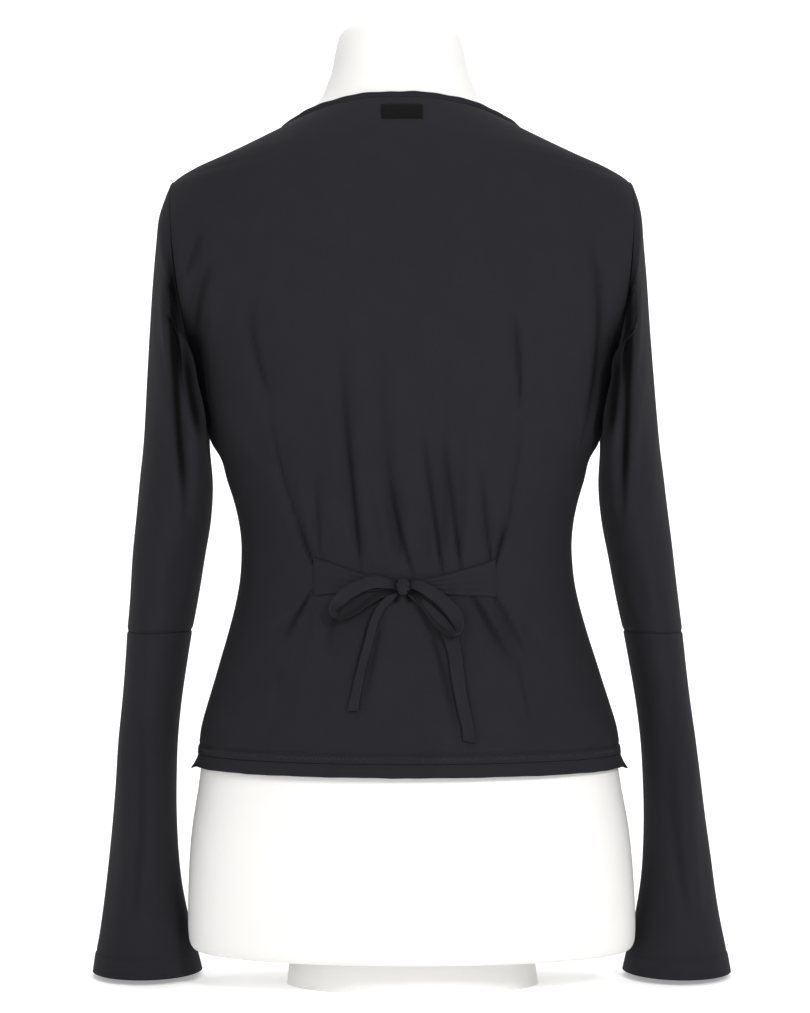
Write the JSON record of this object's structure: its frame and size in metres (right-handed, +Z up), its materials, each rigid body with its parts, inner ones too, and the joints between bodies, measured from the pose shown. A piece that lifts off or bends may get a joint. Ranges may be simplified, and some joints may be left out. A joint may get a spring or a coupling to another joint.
{
  "type": "cardigan on dress form",
  "caption": "Fitted long-sleeved jersey cardigan with flared cuffs and a tie bow at the back waist, worn by a limbless dress form with a neck and a flat foot.",
  "frame": {"origin": "centre of the form's flat foot, where it stands", "axes": "+Z up; -Y is the side of the garment's back, +Y its front; +X is to the right when the back is looked at"},
  "size_m": [0.504, 0.2517, 0.7512],
  "materials": {
    "jersey": "fine matt single jersey, near black with a faint blue cast",
    "strip": "the same jersey as a raw-edged strip",
    "label": "blank woven satin label",
    "button": "dull dark polyester",
    "form": "smooth white stretch cover over a hard form"
  },
  "bodies": {
    "root": {"dress_form": "form", "back": "jersey", "front_left": "jersey", "front_right": "jersey", "sleeve_upper_left": "jersey", "sleeve_upper_right": "jersey", "sleeve_lower_left": "jersey", "sleeve_lower_right": "jersey", "tie_left": "jersey", "tie_right": "jersey", "bow_knot": "jersey", "bow_loop_left": "jersey", "bow_loop_right": "jersey", "bow_tail_left": "jersey", "bow_tail_right": "jersey", "neck_strip": "strip", "hem_strip": "strip", "neck_label": "label", "button_1": "button", "button_2": "button", "button_3": "button", "button_4": "button", "button_5": "button", "button_6": "button"}
  },
  "joints": []
}
